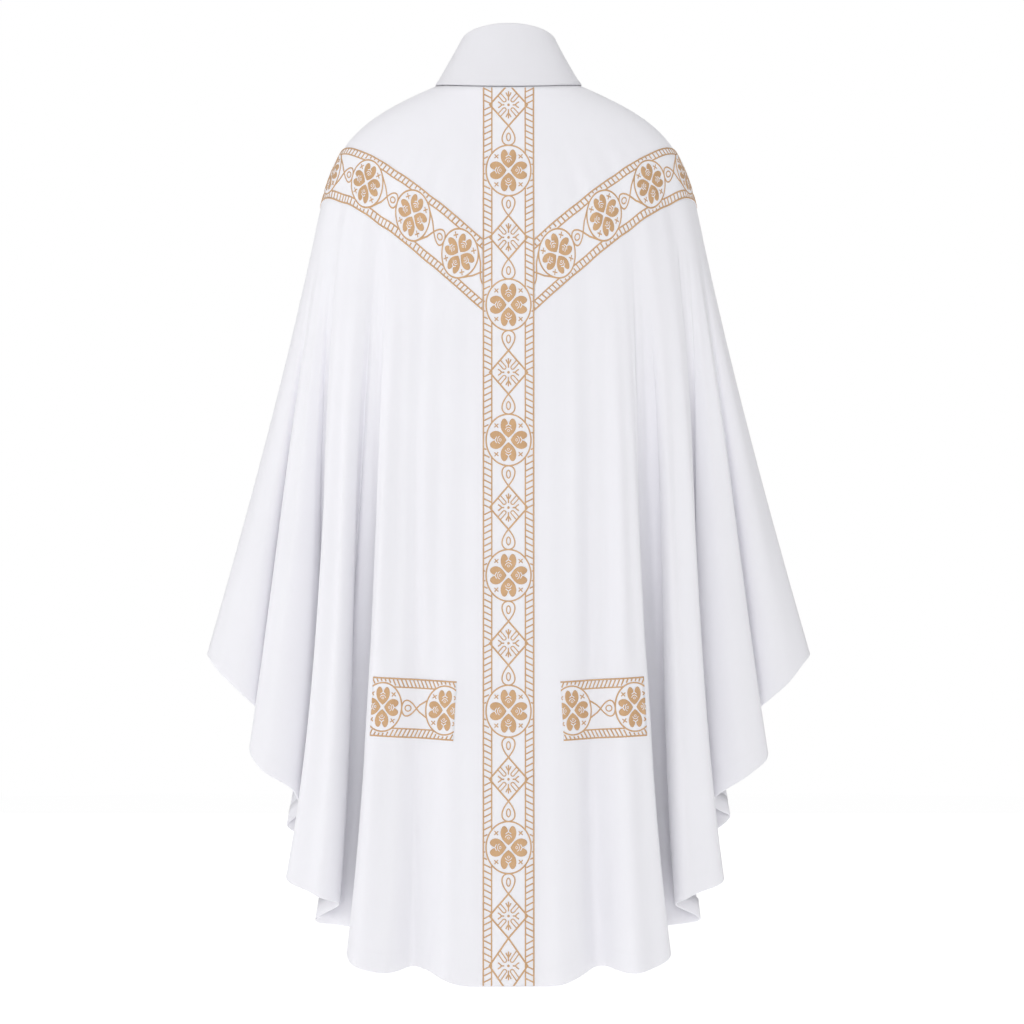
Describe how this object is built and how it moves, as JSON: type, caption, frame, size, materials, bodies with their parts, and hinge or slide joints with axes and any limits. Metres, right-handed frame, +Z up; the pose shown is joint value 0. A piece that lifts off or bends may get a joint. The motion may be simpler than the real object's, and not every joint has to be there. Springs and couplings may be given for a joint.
{
  "type": "chasuble",
  "caption": "Full-cut church vestment that hangs from the shoulders in deep folds, with a stand-up collar and woven gold galloon bands.",
  "frame": {"origin": "middle of the neck opening, level with the neck ends of the shoulder seams", "axes": "+Z up, +Y towards the wearer's front, +X towards the wearer's right-hand side"},
  "size_m": [0.8732, 0.4035, 1.3721],
  "materials": {
    "cloth": "fine plain weave, soft matt sheen",
    "galloon": "white ground with raised satin gold thread",
    "interfacing": "stiff non-woven"
  },
  "bodies": {
    "root": {"back_left_panel": "cloth", "back_right_panel": "cloth", "front_left_panel": "cloth", "front_right_panel": "cloth", "back_column_galloon": "galloon", "front_column_galloon": "galloon", "back_left_arm_galloon": "galloon", "back_right_arm_galloon": "galloon", "front_left_arm_galloon": "galloon", "front_right_arm_galloon": "galloon", "back_left_patch_galloon": "galloon", "back_right_patch_galloon": "galloon", "front_left_patch_galloon": "galloon", "front_right_patch_galloon": "galloon", "left_shoulder_seam_tape": "cloth", "right_shoulder_seam_tape": "cloth", "neck_facing": "cloth", "collar_outer": "cloth", "collar_interfacing": "interfacing", "collar_lining": "cloth"}
  },
  "joints": []
}
